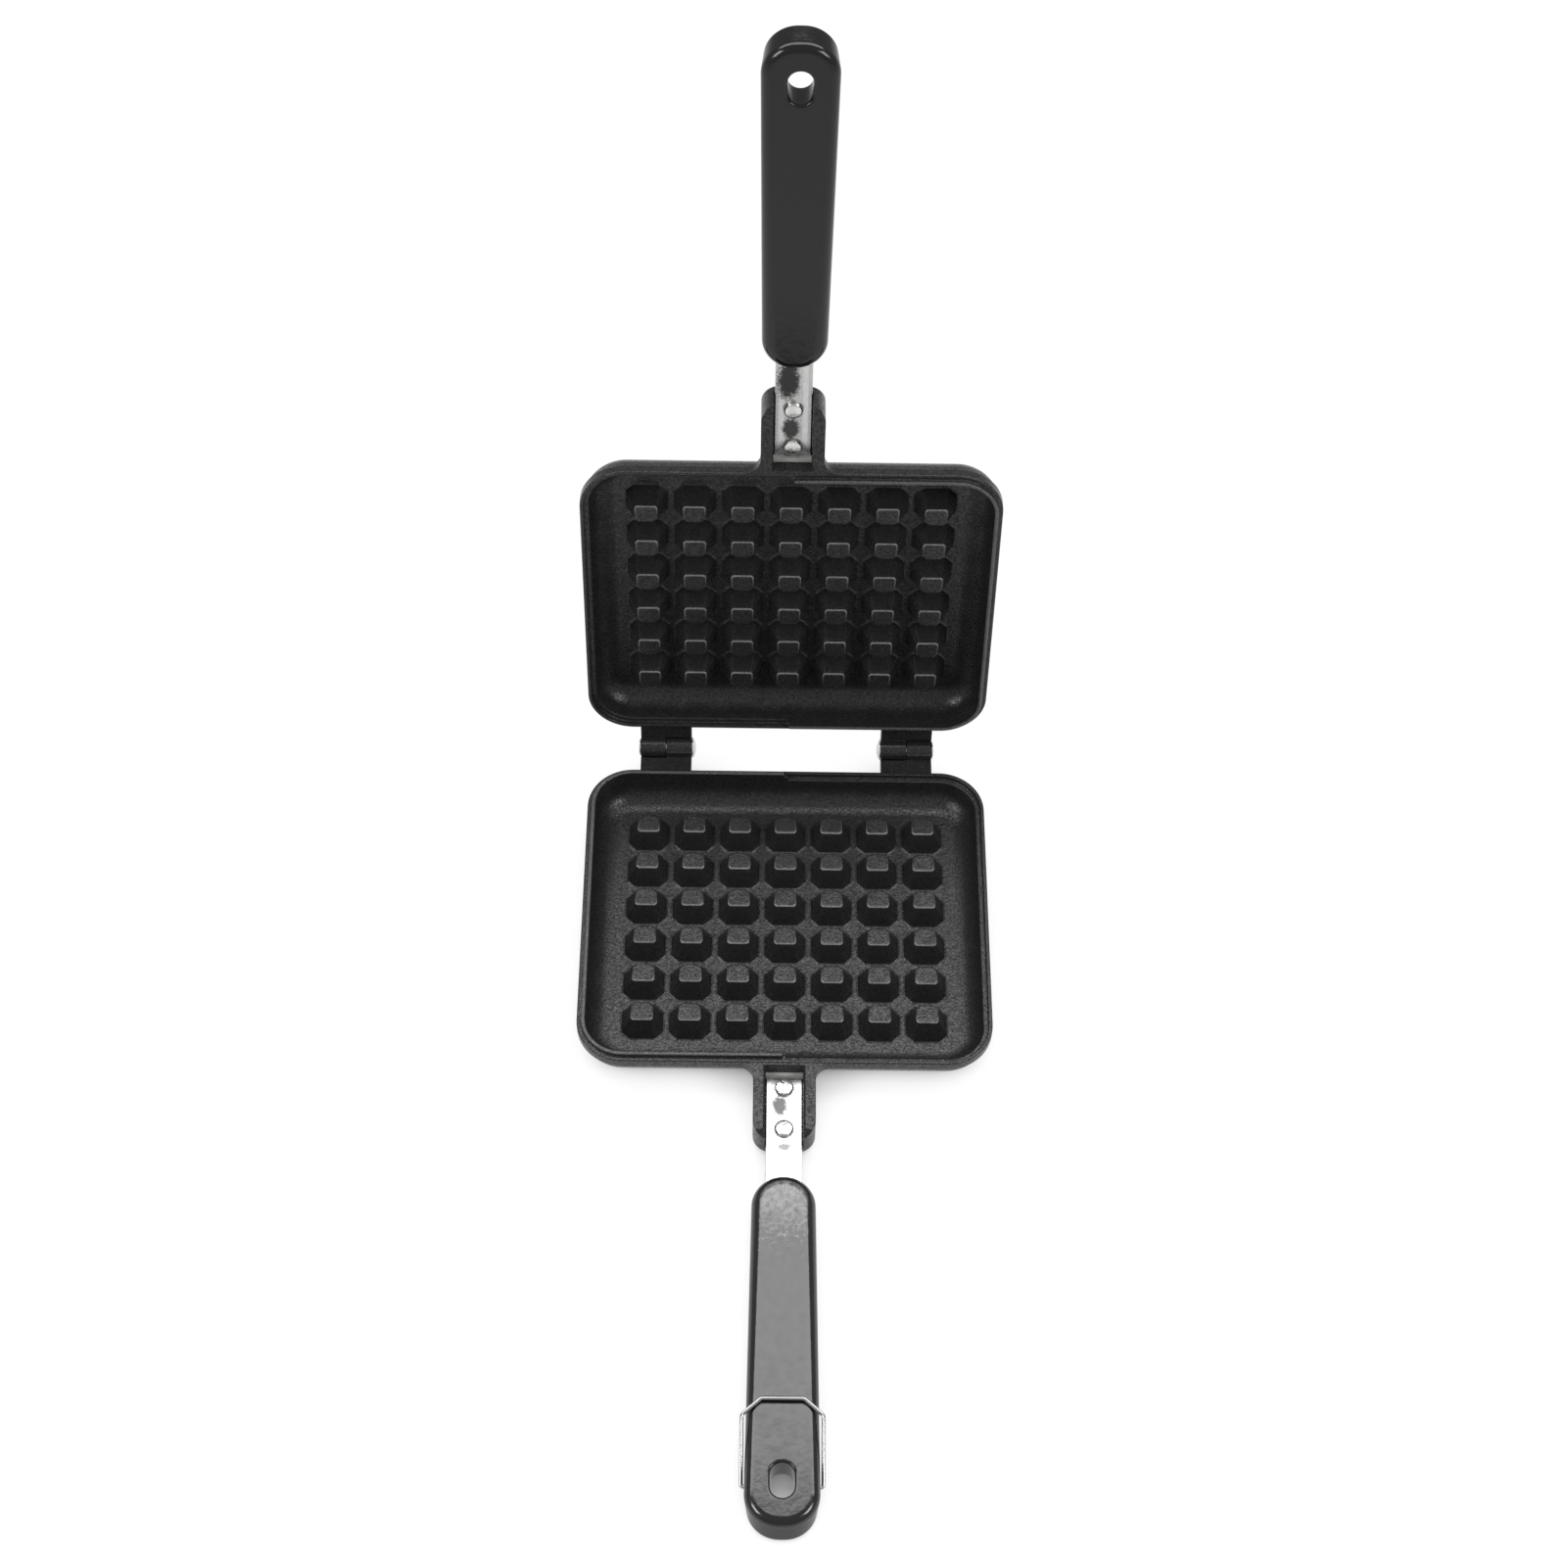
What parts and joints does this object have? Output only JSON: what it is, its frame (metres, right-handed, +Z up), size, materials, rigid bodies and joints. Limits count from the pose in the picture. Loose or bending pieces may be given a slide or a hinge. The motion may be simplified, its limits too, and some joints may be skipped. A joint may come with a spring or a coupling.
{
  "type": "egg waffle pan",
  "caption": "Stove-top waffle pan: two hinged non-stick cast plates with studded insides, riveted steel shanks, black moulded handles and a wire latch.",
  "frame": {"origin": "middle of the flat underside of the lower plate, where it stands on the table or the hob", "axes": "+Z up; +X to the right along the hinge line, seen from the lower handle; +Y from the lower handle towards the hinge"},
  "size_m": [0.16, 0.3936, 0.3401],
  "materials": {
    "coated_plate": "dark non-stick coating, fine-grained satin",
    "pin_steel": "polished",
    "shank_steel": "fine brushed",
    "rivet_metal": "bright",
    "handle_plastic": "glossy black",
    "latch_steel": "bright plated"
  },
  "bodies": {
    "lower_half": {"lower_plate": "coated_plate", "left_hinge_pin": "pin_steel", "right_hinge_pin": "pin_steel", "lower_shank": "shank_steel", "lower_front_rivet": "rivet_metal", "lower_rear_rivet": "rivet_metal", "lower_handle": "handle_plastic"},
    "upper_half": {"upper_plate": "coated_plate", "upper_shank": "shank_steel", "upper_front_rivet": "rivet_metal", "upper_rear_rivet": "rivet_metal", "upper_handle": "handle_plastic"},
    "latch": {"latch_bail": "latch_steel"}
  },
  "joints": [
    {"name": "lid_hinge", "type": "hinge", "parent": "lower_half", "child": "upper_half", "pos_m": [0, 0.079, 0.016], "axis": [1, 0, 0], "range_deg": [0, 98.6]},
    {"name": "latch_swing", "type": "hinge", "parent": "lower_half", "child": "latch", "pos_m": [0, -0.233, 0.0066], "axis": [1, 0, 0], "range_deg": [0, 333]}
  ]
}
